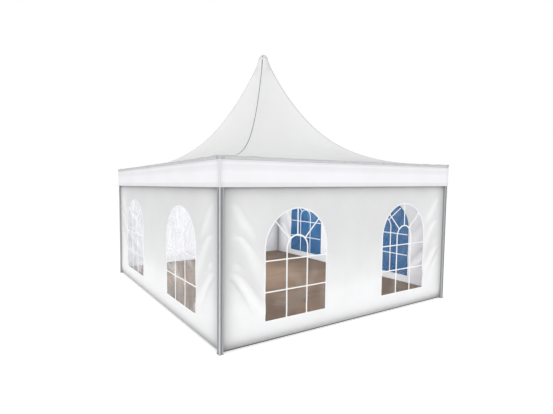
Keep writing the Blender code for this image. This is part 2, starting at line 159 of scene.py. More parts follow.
def piece(name, points, faces, finish, slot, thickness=0.0, offset=0.0, shade=None, sharp=None):
    """A mesh object that rides on the tent's one body."""
    mesh = bpy.data.meshes.new(name)
    mesh.from_pydata(np.asarray(points).reshape(-1, 3).tolist(), [], [list(map(int, f)) for f in faces])
    mesh.update()
    edge_of_loop = np.zeros(len(mesh.loops), dtype=np.int32)
    mesh.loops.foreach_get("edge_index", edge_of_loop)
    hard = np.bincount(edge_of_loop, minlength=len(mesh.edges)) == 1
    if sharp is not None:
        ends = np.zeros(2 * len(mesh.edges), dtype=np.int32)
        mesh.edges.foreach_get("vertices", ends)
        marked = np.asarray(sharp).ravel()[ends.reshape(-1, 2)]
        hard |= marked.all(axis=1)
    mesh.shade_smooth()
    mesh.attributes.new("sharp_edge", "BOOLEAN", "EDGE").data.foreach_set("value", hard)
    if shade is not None:
        data = mesh.attributes.new("shade", "FLOAT", "POINT").data
        data.foreach_set("value", np.asarray(shade, dtype=np.float32).ravel())
    mesh.materials.append(finish)
    made = bpy.data.objects.new(name, mesh)
    bpy.context.scene.collection.objects.link(made)
    if thickness:
        solid = made.modifiers.new("thickness", "SOLIDIFY")
        solid.thickness = thickness
        solid.offset = offset
    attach(made, "root")
    return made


class Parts:
    """Gathers closed forms that make one piece."""

    def __init__(self):
        self.points, self.faces, self.count = [], [], 0

    def add(self, points, faces):
        points = np.asarray(points, float).reshape(-1, 3)
        self.points.append(points)
        self.faces += [[int(i) + self.count for i in f] for f in faces]
        self.count += len(points)

    def made(self, name, finish, slot, sharp_angle=35, **more):
        made = piece(name, np.vstack(self.points), self.faces, finish, slot, **more)
        mesh = made.data
        mesh.set_sharp_from_angle(angle=math.radians(sharp_angle))
        return made


def loop_solid(rings, closed=False):
    """A solid through rings of points: faces between them, and flat ends unless it closes on itself."""
    rings = np.asarray(rings, float)
    count, sides = rings.shape[:2]
    index = np.arange(count * sides).reshape(count, sides)
    following = np.roll(index, -1, axis=0) if closed else index[1:]
    here = index if closed else index[:-1]
    faces = np.stack(
        [here, following, np.roll(following, -1, axis=1), np.roll(here, -1, axis=1)], -1
    ).reshape(-1, 4).tolist()
    if not closed:
        faces += [index[0].tolist(), index[-1][::-1].tolist()]
    return rings.reshape(-1, 3), faces


def block(low, high):
    """The eight corners of a block as two rings."""
    (x0, y0, z0), (x1, y1, z1) = low, high
    return loop_solid(
        [[(x0, y0, z), (x0, y1, z), (x1, y1, z), (x1, y0, z)] for z in (z0, z1)]
    )


# Finishes


def node(tree, kind, inputs=(), **settings):
    made = tree.nodes.new(kind)
    for key, value in settings.items():
        setattr(made, key, value)
    for socket, value in dict(inputs).items():
        if isinstance(value, bpy.types.NodeSocket):
            tree.links.new(value, made.inputs[socket])
        else:
            made.inputs[socket].default_value = value
    return made


def group(name, inputs, outputs):
    tree = bpy.data.node_groups.new(name, "ShaderNodeTree")
    for key, (kind, value) in inputs.items():
        socket = tree.interface.new_socket(key, in_out="INPUT", socket_type="NodeSocket" + kind)
        if value is not None:
            socket.default_value = value
    for key, kind in outputs.items():
        tree.interface.new_socket(key, in_out="OUTPUT", socket_type="NodeSocket" + kind)
    return tree, tree.nodes.new("NodeGroupInput"), tree.nodes.new("NodeGroupOutput")


def coated_weave():
    """The fine weave that shows through a coating, with low cloudy unevenness."""
    tree, given, out = group(
        "coated_weave",
        {"Place": ("Vector", None), "Threads": ("Float", 900.0), "Clouds": ("Float", 1.6)},
        {"Height": "Float", "Tone": "Float"},
    )
    place = given.outputs["Place"]
    spread = node(tree, "ShaderNodeVectorMath", {0: place}, operation="SCALE")
    tree.links.new(given.outputs["Threads"], spread.inputs["Scale"])
    wave = node(tree, "ShaderNodeVectorMath", {0: spread.outputs[0]}, operation="SINE")
    split = node(tree, "ShaderNodeSeparateXYZ", {0: wave.outputs[0]})
    flat = node(tree, "ShaderNodeMath", {0: split.outputs[0], 1: split.outputs[1]}, operation="ADD")
    threads = node(tree, "ShaderNodeMath", {0: flat.outputs[0], 1: split.outputs[2]}, operation="MULTIPLY")
    cloud = node(tree, "ShaderNodeTexNoise", {"Vector": place, "Detail": 3.0, "Roughness": 0.55})
    tree.links.new(given.outputs["Clouds"], cloud.inputs["Scale"])
    dimple = node(tree, "ShaderNodeTexNoise", {"Vector": place, "Scale": 38.0, "Detail": 2.0})
    both = node(
        tree, "ShaderNodeMath", {0: threads.outputs[0], 1: 0.04, 2: dimple.outputs[0]}, operation="MULTIPLY_ADD"
    )
    tree.links.new(both.outputs[0], out.inputs["Height"])
    tree.links.new(cloud.outputs[0], out.inputs["Tone"])
    return tree


def edge_wear():
    """Duller patches of metal or board, and streaks along its grain."""
    tree, given, out = group(
        "edge_wear",
        {"Place": ("Vector", None), "Grain": ("Vector", (1, 1, 1)), "Scale": ("Float", 20.0)},
        {"Mask": "Float", "Streaks": "Float"},
    )
    stretched = node(
        tree,
        "ShaderNodeVectorMath",
        {0: given.outputs["Place"], 1: given.outputs["Grain"]},
        operation="MULTIPLY",
    )
    streaks = node(tree, "ShaderNodeTexNoise", {"Vector": stretched.outputs[0], "Detail": 4.0})
    tree.links.new(given.outputs["Scale"], streaks.inputs["Scale"])
    patches = node(tree, "ShaderNodeTexNoise", {"Vector": given.outputs["Place"], "Scale": 9.0})
    mask = node(
        tree, "ShaderNodeMapRange", {0: patches.outputs[0], 1: 0.42, 2: 0.72}, interpolation_type="SMOOTHSTEP"
    )
    tree.links.new(mask.outputs[0], out.inputs["Mask"])
    tree.links.new(streaks.outputs[0], out.inputs["Streaks"])
    return tree


WEAVE = coated_weave()
WEAR = edge_wear()


def bare(name):
    """A new material: its tree, its Principled shader and its object coordinates."""
    material = bpy.data.materials.new(name)
    material.use_nodes = True
    tree = material.node_tree
    shader = tree.nodes["Principled BSDF"]
    place = node(tree, "ShaderNodeTexCoord").outputs["Object"]
    return material, tree, shader, place


def mixed(tree, factor, first, second):
    mix = node(tree, "ShaderNodeMix", {}, data_type="RGBA")
    for socket, value in ((0, factor), (6, first), (7, second)):
        if isinstance(value, bpy.types.NodeSocket):
            tree.links.new(value, mix.inputs[socket])
        elif socket == 0:
            mix.inputs[0].default_value = value
        else:
            mix.inputs[socket].default_value = (*value, 1.0)
    return mix.outputs[2]


def bumped(tree, shader, height, strength, distance):
    bump = node(tree, "ShaderNodeBump", {"Strength": strength, "Distance": distance, "Height": height})
    tree.links.new(bump.outputs[0], shader.inputs["Normal"])


def ramp(tree, value, stops):
    """A factor turned into a tone through (place, tone) stops."""
    made = node(tree, "ShaderNodeValToRGB", {0: value})
    ends = made.color_ramp.elements
    while len(ends) < len(stops):
        ends.new(0.5)
    for stop, (at, tone) in zip(ends, stops):
        stop.position = at
        stop.color = (tone, tone, tone, 1)
    return made.outputs[0]


def coated_cloth(name, light, dark, shaded=None, shade_bands=(), roughness=0.42):
    """White coated cloth, darker by the piece's painted shade where it has one, with bands of painted shade and light
    by height.
    """
    material, tree, shader, place = bare(name)
    weave = node(tree, "ShaderNodeGroup", node_tree=WEAVE)
    tree.links.new(place, weave.inputs["Place"])
    tone = node(tree, "ShaderNodeMapRange", {0: weave.outputs["Tone"], 1: 0.35, 2: 0.65})
    colour = mixed(tree, tone.outputs[0], dark, light)
    if shade_bands:
        height = node(tree, "ShaderNodeSeparateXYZ", {0: place}).outputs[2]
        low, high = shade_bands[0][0], shade_bands[-1][0]
        part = node(tree, "ShaderNodeMapRange", {0: height, 1: low, 2: high})
        stops = [((at - low) / (high - low), value) for at, value in shade_bands]
        bright = ramp(tree, part.outputs[0], stops)
        colour = node(
            tree, "ShaderNodeMix", {0: 1.0, 6: colour, 7: bright}, data_type="RGBA", blend_type="MULTIPLY"
        ).outputs[2]
    if shaded:
        attribute = node(tree, "ShaderNodeAttribute", attribute_name="shade")
        colour = mixed(tree, attribute.outputs["Fac"], colour, shaded)
    tree.links.new(colour, shader.inputs["Base Color"])
    shader.inputs["Roughness"].default_value = roughness
    shader.inputs["Specular IOR Level"].default_value = 0.35
    bumped(tree, shader, weave.outputs["Height"], 0.12, 0.002)
    return material


def crumple():
    """Soft crumples of film: pale streaks and patches along its turns as painted highlights, and the height that bends
    its gloss.
    """
    tree, given, out = group(
        "crumple",
        {"Place": ("Vector", None), "Stretch": ("Vector", (1, 1, 1))},
        {"Streaks": "Float", "Height": "Float"},
    )
    placed = node(
        tree, "ShaderNodeVectorMath", {0: given.outputs["Place"], 1: given.outputs["Stretch"]}, operation="MULTIPLY"
    )
    bend = node(tree, "ShaderNodeTexNoise", {"Vector": placed.outputs[0], "Scale": 1.3, "Detail": 1.0})
    moved = node(tree, "ShaderNodeVectorMath", {0: bend.outputs["Color"], 1: placed.outputs[0]}, operation="ADD")
    fold = node(tree, "ShaderNodeTexNoise", {"Vector": moved.outputs[0], "Scale": 3.4, "Detail": 2.0, "Roughness": 0.5})
    patch = node(
        tree, "ShaderNodeMapRange", {0: fold.outputs[0], 1: 0.47, 2: 0.66}, interpolation_type="SMOOTHSTEP"
    )
    off = node(tree, "ShaderNodeMath", {0: fold.outputs[0], 1: 0.44}, operation="SUBTRACT")
    side = node(tree, "ShaderNodeMath", {0: off.outputs[0]}, operation="ABSOLUTE")
    crease_highlight = node(
        tree, "ShaderNodeMapRange", {0: side.outputs[0], 1: 0.0, 2: 0.06, 3: 0.45, 4: 0.0}, interpolation_type="SMOOTHSTEP"
    )
    both = node(tree, "ShaderNodeMath", {0: crease_highlight.outputs[0], 1: patch.outputs[0]}, operation="MAXIMUM")
    tree.links.new(both.outputs[0], out.inputs["Streaks"])
    tree.links.new(fold.outputs[0], out.inputs["Height"])
    return tree


CRUMPLE = crumple()


def window_film(name, colour, haze_and_highlight, alpha, crease_highlight, slant_reflection, roughness=0.1):
    """Flexible film, cloudier in random patches, with painted highlights on its creases and a pale veil at a slant as
    painted reflection.
    """
    material, tree, shader, place = bare(name)
    weave = node(tree, "ShaderNodeGroup", {"Clouds": 2.4}, node_tree=WEAVE)
    folds = node(tree, "ShaderNodeGroup", {"Stretch": (1.0, 1.0, 0.75)}, node_tree=CRUMPLE)
    for made in (weave, folds):
        tree.links.new(place, made.inputs["Place"])
    tone = node(tree, "ShaderNodeMapRange", {0: weave.outputs["Tone"], 1: 0.35, 2: 0.68})
    # Pale where the film is cloudy and where painted highlights run along its creases
    pale = node(tree, "ShaderNodeMath", {0: tone.outputs[0], 1: folds.outputs["Streaks"]}, operation="MAXIMUM")
    tree.links.new(mixed(tree, pale.outputs[0], colour, haze_and_highlight), shader.inputs["Base Color"])
    cloudy = node(tree, "ShaderNodeMapRange", {0: tone.outputs[0], 3: alpha[0], 4: alpha[1]})
    # More opaque and pale at a slant: painted reflection
    facing = node(tree, "ShaderNodeLayerWeight", {"Blend": 0.35})
    steep = node(tree, "ShaderNodeMath", {0: facing.outputs["Facing"], 1: 3.0}, operation="POWER")
    total = node(tree, "ShaderNodeMath", {0: steep.outputs[0], 1: slant_reflection, 2: cloudy.outputs[0]}, operation="MULTIPLY_ADD")
    # More opaque along the creases, for their painted highlights
    total = node(tree, "ShaderNodeMath", {0: folds.outputs["Streaks"], 1: crease_highlight, 2: total.outputs[0]}, operation="MULTIPLY_ADD")
    total.use_clamp = True
    tree.links.new(total.outputs[0], shader.inputs["Alpha"])
    shader.inputs["Roughness"].default_value = roughness
    shader.inputs["Specular IOR Level"].default_value = 0.2
    bumped(tree, shader, folds.outputs["Height"], 0.25, 0.01)
    return material


def metal(name, colour, dull, roughness, grain, metallic=1.0, scale=20.0, bump=0.05):
    """Metal with drawing marks along the grain and duller patches."""
    material, tree, shader, place = bare(name)
    wear = node(tree, "ShaderNodeGroup", {"Grain": grain, "Scale": scale}, node_tree=WEAR)
    tree.links.new(place, wear.inputs["Place"])
    tree.links.new(mixed(tree, wear.outputs["Mask"], colour, dull), shader.inputs["Base Color"])
    rough = node(
        tree, "ShaderNodeMapRange", {0: wear.outputs["Streaks"], 1: 0.3, 2: 0.7, 3: roughness - 0.07, 4: roughness + 0.1}
    )
    tree.links.new(rough.outputs[0], shader.inputs["Roughness"])
    shader.inputs["Metallic"].default_value = metallic
    bumped(tree, shader, wear.outputs["Streaks"], bump, 0.002)
    return material


def leg_profile(name, nose_highlight, rim, channel_shade, dull):
    """An extrusion with a painted highlight on the rounded nose at its outer corner and painted shade in the channels
    down its faces.
    """
    material, tree, shader, place = bare(name)
    wear = node(tree, "ShaderNodeGroup", {"Grain": (6, 6, 0.15), "Scale": 20.0}, node_tree=WEAR)
    tree.links.new(place, wear.inputs["Place"])
    across = node(tree, "ShaderNodeVectorMath", {0: place}, operation="ABSOLUTE")
    across = node(tree, "ShaderNodeVectorMath", {0: across.outputs[0], 1: (LEG_MIDDLE, LEG_MIDDLE, 0)}, operation="SUBTRACT")
    split = node(tree, "ShaderNodeSeparateXYZ", {0: across.outputs[0]})
    masks = []
    for socket in (0, 1):
        off = node(tree, "ShaderNodeMath", {0: split.outputs[socket]}, operation="ABSOLUTE")
        inner = node(tree, "ShaderNodeMapRange", {0: off.outputs[0], 1: 0.0125, 2: 0.0140, 3: 1.0, 4: 0.0})
        outer = node(tree, "ShaderNodeMapRange", {0: split.outputs[socket], 1: 0.0200, 2: 0.0240})
        masks.append((inner.outputs[0], outer.outputs[0]))
    channel_shade_mask = node(tree, "ShaderNodeMath", {0: masks[0][0], 1: masks[1][0]}, operation="MAXIMUM").outputs[0]
    nose_highlight_mask = node(tree, "ShaderNodeMath", {0: masks[0][1], 1: masks[1][1]}, operation="MULTIPLY").outputs[0]
    colour = mixed(tree, nose_highlight_mask, rim, nose_highlight)
    colour = mixed(tree, channel_shade_mask, colour, channel_shade)
    faded = node(tree, "ShaderNodeMath", {0: wear.outputs["Mask"], 1: 0.3}, operation="MULTIPLY")
    tree.links.new(mixed(tree, faded.outputs[0], colour, dull), shader.inputs["Base Color"])
    rough = node(tree, "ShaderNodeMapRange", {0: wear.outputs["Streaks"], 1: 0.3, 2: 0.7, 3: 0.38, 4: 0.55})
    tree.links.new(rough.outputs[0], shader.inputs["Roughness"])
    shader.inputs["Metallic"].default_value = 0.3
    bumped(tree, shader, wear.outputs["Streaks"], 0.05, 0.002)
    return material


def knot_figure():
    """Arching rings round a knot, near it only."""
    tree, given, out = group(
        "knot_figure", {"Place": ("Vector", None), "Middle": ("Vector", None)}, {"Rings": "Float", "Near": "Float"}
    )
    away = node(
        tree, "ShaderNodeVectorMath", {0: given.outputs["Place"], 1: given.outputs["Middle"]}, operation="SUBTRACT"
    )
    narrow = node(tree, "ShaderNodeVectorMath", {0: away.outputs[0], 1: (1.0, 1.15, 0.0)}, operation="MULTIPLY")
    bend = node(tree, "ShaderNodeTexNoise", {"Vector": given.outputs["Place"], "Scale": 5.0, "Detail": 3.0})
    reach = node(tree, "ShaderNodeVectorMath", {0: narrow.outputs[0]}, operation="LENGTH")
    bent = node(tree, "ShaderNodeMath", {0: bend.outputs[0], 1: 0.22, 2: reach.outputs["Value"]}, operation="MULTIPLY_ADD")
    turned = node(tree, "ShaderNodeMath", {0: bent.outputs[0], 1: 62.0}, operation="MULTIPLY")
    wave = node(tree, "ShaderNodeMath", {0: turned.outputs[0]}, operation="SINE")
    near = node(
        tree, "ShaderNodeMapRange", {0: bent.outputs[0], 1: 0.28, 2: 0.52, 3: 1.0, 4: 0.0}, interpolation_type="SMOOTHSTEP"
    )
    both = node(tree, "ShaderNodeMath", {0: wave.outputs[0], 1: near.outputs[0]}, operation="MULTIPLY")
    tree.links.new(both.outputs[0], out.inputs["Rings"])
    tree.links.new(near.outputs[0], out.inputs["Near"])
    return tree


KNOT = knot_figure()


def wood(name, light, dark, coarse, fine, knots=(), tint=(0.36, 0.24, 0.165), roughness=0.6):
    """Boards with broad and fine grain along them, and arching figure round the knots."""
    material, tree, shader, place = bare(name)
    broad = node(tree, "ShaderNodeGroup", {"Grain": coarse, "Scale": 1.0}, node_tree=WEAR)
    close = node(tree, "ShaderNodeGroup", {"Grain": fine, "Scale": 1.0}, node_tree=WEAR)
    for wear in (broad, close):
        tree.links.new(place, wear.inputs["Place"])
    first = node(tree, "ShaderNodeMapRange", {0: broad.outputs["Streaks"], 1: 0.3, 2: 0.7})
    second = node(tree, "ShaderNodeMapRange", {0: close.outputs["Streaks"], 1: 0.3, 2: 0.7})
    tone = node(tree, "ShaderNodeMix", {0: 0.45, 2: first.outputs[0], 3: second.outputs[0]}).outputs[0]
    near = None
    for x, y in knots:
        knot = node(tree, "ShaderNodeGroup", {"Middle": (x, y, DECK_TOP)}, node_tree=KNOT)
        tree.links.new(place, knot.inputs["Place"])
        tone = node(tree, "ShaderNodeMath", {0: knot.outputs["Rings"], 1: 0.34, 2: tone}, operation="MULTIPLY_ADD").outputs[0]
        if near is None:
            near = knot.outputs["Near"]
        else:
            near = node(tree, "ShaderNodeMath", {0: near, 1: knot.outputs["Near"]}, operation="MAXIMUM").outputs[0]
    colour = mixed(tree, tone, dark, light)
    if near is not None:
        part = node(tree, "ShaderNodeMath", {0: near, 1: 0.45}, operation="MULTIPLY")
        colour = mixed(tree, part.outputs[0], colour, tint)
    tree.links.new(colour, shader.inputs["Base Color"])
    shader.inputs["Roughness"].default_value = roughness
    shader.inputs["Specular IOR Level"].default_value = 0.02
    bumped(tree, shader, close.outputs["Streaks"], 0.15, 0.001)
    return material


WALL_CLOTH = coated_cloth("wall_cloth", (0.86, 0.862, 0.868), (0.825, 0.827, 0.834), shaded=(0.02, 0.021, 0.023))
# Painted shade of the roof cloth by height, darker towards the peak
ROOF_SHADE_BANDS = ((2.5, 1.0), (4.45, 1.0), (4.80, 0.92), (4.99, 0.84))
ROOF_CLOTH = coated_cloth(
    "roof_cloth", (0.85, 0.852, 0.858), (0.83, 0.832, 0.838), shaded=(0.02, 0.021, 0.023), shade_bands=ROOF_SHADE_BANDS
)
# Painted shade of the fascia by height: darker at its foot and under the rail, with a painted light line just below the
# rail
FASCIA_SHADE_BANDS = (
    (2.180, 0.88), (2.235, 0.92), (2.250, 1.0), (2.380, 1.0), (2.410, 0.955), (2.460, 0.93), (2.478, 0.96),
    (2.488, 0.985), (2.500, 0.96), (2.510, 0.88), (2.533, 0.84),
)
FASCIA_CLOTH = coated_cloth(
    "fascia_cloth", (0.865, 0.86, 0.89), (0.84, 0.835, 0.86), shaded=(0.02, 0.02, 0.024), shade_bands=FASCIA_SHADE_BANDS
)
CAP_CLOTH = coated_cloth("cap_cloth", (0.64, 0.642, 0.648), (0.60, 0.602, 0.608))
WELD_CLOTH = coated_cloth("weld_cloth", (0.24, 0.245, 0.25), (0.20, 0.205, 0.21))
# Grey of the corner strips: painted shade of the fascia's rounded corners
CORNER_SHADE_CLOTH = coated_cloth("corner_shade_cloth", (0.66, 0.655, 0.675), (0.62, 0.615, 0.635))
KEDER_CLOTH = coated_cloth("keder_cloth", (0.66, 0.665, 0.675), (0.62, 0.625, 0.635))
HEM_CLOTH = coated_cloth("hem_cloth", (0.84, 0.845, 0.85), (0.80, 0.805, 0.81))
BAR_CLOTH = coated_cloth("window_bar", (0.86, 0.865, 0.87), (0.82, 0.825, 0.83), roughness=0.3)
# The creased film carries stronger painted highlights on its crumples than the clear film
CLEAR_FILM = window_film("clear_film", (0.66, 0.66, 0.72), (0.92, 0.92, 0.95), (0.004, 0.012), 0.030, 0.5)
CREASED_FILM = window_film("creased_film", (0.58, 0.60, 0.65), (0.90, 0.905, 0.925), (0.05, 0.09), 0.14, 0.35)
BLUE_FILM = window_film("blue_film", (0.004, 0.080, 0.235), (0.018, 0.125, 0.285), (0.985, 0.99), 0.0, 0.05, 0.25)
EXTRUSION = metal("anodised_extrusion", (0.40, 0.405, 0.415), (0.34, 0.345, 0.355), 0.45, (6, 6, 0.15), 0.35)
# Legs: painted highlight on the nose, painted shade in the channels
LEG_METAL = leg_profile("leg_extrusion", (0.56, 0.565, 0.58), (0.42, 0.425, 0.435), (0.26, 0.262, 0.268), (0.36, 0.36, 0.37))
KEDER_RAIL = metal("keder_rail", (0.63, 0.635, 0.65), (0.59, 0.595, 0.61), 0.5, (0.2, 0.2, 6), 0.3)
CASTING = metal("cast_head", (0.50, 0.505, 0.52), (0.45, 0.455, 0.47), 0.5, (1, 1, 1), 0.3, 60.0, 0.2)
GALVANISED = metal("galvanised_plate", (0.50, 0.51, 0.52), (0.38, 0.39, 0.40), 0.48, (1, 1, 1), 0.9, 35.0, 0.15)
CABLE = metal("twisted_cable", (0.55, 0.56, 0.57), (0.40, 0.41, 0.42), 0.35, (1, 1, 1), 1.0, 400.0, 0.6)
FLOOR_WOOD = wood(
    "brown_plywood", (0.215, 0.148, 0.102), (0.112, 0.075, 0.050), (1.6, 9.0, 1.0), (6.0, 46.0, 1.0), KNOTS, (0.25, 0.163, 0.112)
)
# Joist timber darkened so the gap under the walls reads as a shadow line: painted shade
JOIST_SHADE_WOOD = wood("softwood_joist", (0.17, 0.15, 0.13), (0.11, 0.095, 0.08), (8.0, 1.6, 8.0), (46.0, 5.0, 46.0))
ZIP_TAPE = coated_cloth("zip_tape", (0.55, 0.56, 0.57), (0.50, 0.51, 0.52), roughness=0.8)
ZIP_METAL = metal("zip_metal", (0.62, 0.62, 0.62), (0.45, 0.45, 0.45), 0.3, (1, 1, 1), 1.0, 80.0, 0.05)
SEAM_STRIP = coated_cloth("seam_strip", (0.055, 0.042, 0.034), (0.04, 0.03, 0.025), roughness=0.8)


# Walls and windows


def arch(away, reach):
    """Height of the arch above the spring, at a distance along from its middle."""
    return np.sqrt(np.clip(reach * reach - away * away, 0, None))


def windows_of(side):
    """(node name, middle, half width) of the side's windows, as the CAD has them."""
    found = []
    for end in ("left", "right", "front", "back"):
        name = f"{SIDES[side]}_wall_{end}_window"
        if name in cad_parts:
            low, high = (np.array(corner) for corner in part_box(name))
            axis = side % 2
            sign = 1 if side in (0, 1) else -1
            ends = sorted((sign * low[axis], sign * high[axis]))
            found.append((name, sum(ends) / 2, (ends[1] - ends[0]) / 2 - FILM_LAP))
    return sorted(found, key=lambda window: window[1])


def end_creases(side, along, height):
    """Sum of the ridges and of the hollows that start at both legs of a wall."""
    ridges, hollows = np.zeros(along.shape), np.zeros(along.shape)
    for end in (-1, 1):
        for number, path in enumerate(CREASES):
            grow = 1 + 0.05 * math.sin(3 * side + 2 * number + end)
            away, level, wide, strength = np.array(path)[::-1].T
            fine = np.linspace(level[0], level[-1], 160)
            soft = [np.convolve(np.pad(np.interp(fine, level, row), 5, "edge"), np.ones(11) / 11, "valid") for row in (away, wide, strength)]
            middle, width, power = (np.interp(height, fine, row) for row in soft)
            lean = np.interp(height, fine, np.gradient(soft[0], fine))
            across = (WALL_END - end * along - middle * grow) / np.sqrt(1 + lean * lean)
            within = smooth_step((height - level[0]) / 0.06) * smooth_step((level[-1] - height) / 0.06)
            shape = np.exp(-np.abs(across / width) ** 2.6) * power * within
            ridges += np.clip(shape, 0, None)
            hollows += np.clip(-shape, 0, None)
    return ridges, hollows


def billow(side, along, height):
    """How far the wall stands out of its plane."""
    along, height = np.broadcast_arrays(np.asarray(along, float), np.asarray(height, float))
    total = swell(along, height, 11 + side, 0.0035)
    ridges, hollows = end_creases(side, along, height)
    total = total + CREASE_DEPTH * (ridges - 0.6 * hollows)
    for middle, low, high, depth, width in FOLDS:
        fade = smooth_step((height - low) / 0.25) * smooth_step((high - height) / 0.25)
        total = total + depth * fade * np.exp(-(((along - middle) / width) ** 2))
    for _, middle, reach in windows_of(side):
        for shift in (-0.33, 0.33):
            start, stop = (middle + shift - 0.07, 0.145), (middle + shift + 0.07, 0.21)
            total = total + crease(along, height, start, stop, 0.006, 0.014)
    total = total + 0.012 * np.exp(-(((height - 0.19) / 0.10) ** 2))
    held = smooth_step((WALL_END - np.abs(along)) / 0.10)
    held = held * smooth_step((WALL_TOP - height) / 0.12) * smooth_step((height - 0.05) / 0.09)
    return total * held


def wall_shade(side, along, height):
    """How much darker the cloth is painted as shade: towards the ground, beside the legs, under the fascia, higher up,
    on each side and in its hollows; painted highlights lighten its ridges.
    """
    along, height = np.broadcast_arrays(np.asarray(along, float), np.asarray(height, float))
    away = np.clip(WALL_END - np.abs(along), 0, None)
    # Painted shade at the foot, beside the legs, as a shadow under the fascia, and by height
    low = 1 - (0.53 + 0.1 * (along / WALL_END) ** 2) * np.exp(-(np.clip((height - WALL_BOTTOM) / 0.083, 0, None) ** 1.31))
    dim = np.where((side == 3) & (along < 0), 0.24, 0.40)
    leg = 1 - dim * np.exp(-((away / 0.135) ** 1.5))
    top = 1 - 0.42 * np.exp(-(np.clip((FASCIA_LOW - height) / 0.075, 0, None) ** 1.2))
    body = np.interp(height, BODY_HEIGHTS, BODY_SHADES) + 0.05 * (1 - smooth_step((away - 0.3) / 0.6)) * smooth_step((height - 0.3) / 0.8)
    if side == 2:
        ridges = hollows = np.zeros(along.shape)
    else:
        ridges, hollows = end_creases(side, along, height)
    # Painted highlight on the ridges and painted shade in the hollows
    body = 1 - (1 - np.clip(body, 0, 1)) * (1 - np.clip(ridges, 0, 1)) - 0.09 * hollows
    return np.clip(1 - low * leg * top * body * SIDE_SHADES[side], 0, 1)


def wall_columns(low, high, step):
    return np.linspace(low, high, max(2, round((high - low) / step) + 1))


def windowed_wall(side):
    """One cloth with its windows cut through: columns of points that part round each opening."""
    columns, inside, edge = [], [], -WALL_END
    for _, middle, reach in windows_of(side):
        plain = wall_columns(edge, middle - reach, 0.018)[:-1]
        share = np.linspace(0, 1, 57)
        spread = 0.7 * -np.cos(math.pi * share) + 0.3 * (2 * share - 1)
        opening = middle + reach * spread
        columns += [plain, opening[:-1]]
        inside += [np.full(len(plain), -1.0), np.full(len(opening) - 1, middle)]
        edge = middle + reach
    plain = wall_columns(edge, WALL_END, 0.018)
    columns.append(plain)
    inside.append(np.full(len(plain), -1.0))
    along, owner = np.concatenate(columns), np.concatenate(inside)
    reach = windows_of(side)[0][2]
    foot = np.linspace(WALL_BOTTOM, SILL, 19)
    body = np.linspace(SILL, SPRING, 43)
    head = np.linspace(0, 1, 47)
    rise = np.zeros(len(along))
    for _, middle, half in windows_of(side):
        near = np.abs(along - middle) <= half + 1e-9
        rise[near] = arch(along[near] - middle, half)
    upper = SPRING + rise[None, :] + head[:, None] * (WALL_TOP - SPRING - rise[None, :])
    height = np.vstack([np.repeat(foot[:, None], len(along), 1), np.repeat(body[1:, None], len(along), 1), upper[1:]])
    # The last row of the body follows the arch inside an opening
    height[len(foot) + len(body) - 2] = SPRING + rise
    along = np.broadcast_to(along, height.shape)
    points = on_side(side, along, WALL_PLANE + billow(side, along, height), height)
    faces = grid_faces(*height.shape)
    row, column = np.divmod(faces[:, 0], height.shape[1])
    open_column = owner[column] >= 0
    for _, middle, half in windows_of(side):
        open_column |= owner[column] == middle
    gone = open_column & (row >= len(foot) - 1) & (row < len(foot) + len(body) - 2)
    faces = faces[~gone]
    used = np.unique(faces)
    renumber = np.full(height.size, -1)
    renumber[used] = np.arange(len(used))
    shade = wall_shade(side, along, height).ravel()[used]
    name = SIDES[side] + "_cloth"
    made = piece(name, points.reshape(-1, 3)[used], renumber[faces], WALL_CLOTH, "cloth", CLOTH, 0, shade)
    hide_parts(SIDES[side] + "_wall")
    return made


def outline(middle, reach, margin, steps=96):
    """Points round a window, sill first: (along, height), the same number whatever the margin."""
    wide = reach + margin
    sill = SILL - margin
    across = np.linspace(-1, 1, 25)
    up = np.linspace(0, 1, 33)[1:-1]
    turn = np.radians(np.linspace(0, 180, steps // 2 + 1))
    along = [middle + wide * across, middle + wide + 0 * up, middle + wide * np.cos(turn), middle - wide + 0 * up]
    height = [sill + 0 * across, sill + (SPRING - sill) * up, SPRING + wide * np.sin(turn), (sill + (SPRING - sill) * up)[::-1]]
    return np.concatenate(along), np.concatenate(height)


def film_face(side, middle, reach, along, height):
    """How far out the middle of a window's film stands: with its wall, and rippled inside its border."""
    wide, low = reach + FILM_LAP, SILL - FILM_LAP
    top = SPRING + arch(along - middle, wide)
    edge = np.minimum(wide - np.abs(along - middle), np.minimum(height - low, top - height))
    loose = smooth_step((edge - FILM_LAP) / 0.12)
    ripple = swell(2.2 * along, 1.6 * height, 40 + 3 * side + int(middle > 0), 0.006)
    if side == 3:
        for start, stop, depth, width in FILM_FOLDS:
            ripple = ripple + crease(along - middle, height, start, stop, depth, width)
    return FILM_PLANE - FILM / 2 + billow(side, along, height) + loose * ripple


def film_sheet(side, name, middle, reach):
    wide = reach + FILM_LAP
    share = np.linspace(0, 1, 53)
    spread = 0.6 * -np.cos(math.pi * share) + 0.4 * (2 * share - 1)
    along = middle + wide * spread
    top = SPRING + arch(along - middle, wide)
    low = SILL - FILM_LAP
    height = low + np.linspace(0, 1, 73)[:, None] * (top - low)[None, :]
    height[-1] = top
    along = np.broadcast_to(along, height.shape)
    out = film_face(side, middle, reach, along, height)
    finish = {1: BLUE_FILM, 3: CREASED_FILM}.get(side, CLEAR_FILM)
    kind = "blue_film" if side == 1 else "clear_film"
    made = piece(name + "_film", on_side(side, along, out, height), grid_faces(*height.shape), finish, kind, FILM, 0)
    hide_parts(name)
    return made


def bar(parts, window, along, height, width, front, back):
    """A flat bar along a path, crowned in front, that follows the film of a window (side, middle, reach)."""
    along, height = np.asarray(along, float), np.asarray(height, float)
    step = np.stack([np.gradient(along), np.gradient(height)], -1)
    step /= np.linalg.norm(step, axis=1)[:, None]
    normal = np.stack([-step[:, 1], step[:, 0]], -1)
    rings = []
    for share, out in ((-1, back), (-1, front - 0.0006), (-0.5, front), (0.5, front), (1, front - 0.0006), (1, back)):
        u = along + normal[:, 0] * share * width / 2
        z = height + normal[:, 1] * share * width / 2
        rings.append(on_side(window[0], u, film_face(*window, u, z) + out, z))
    parts.add(*loop_solid(np.stack(rings, 1)))


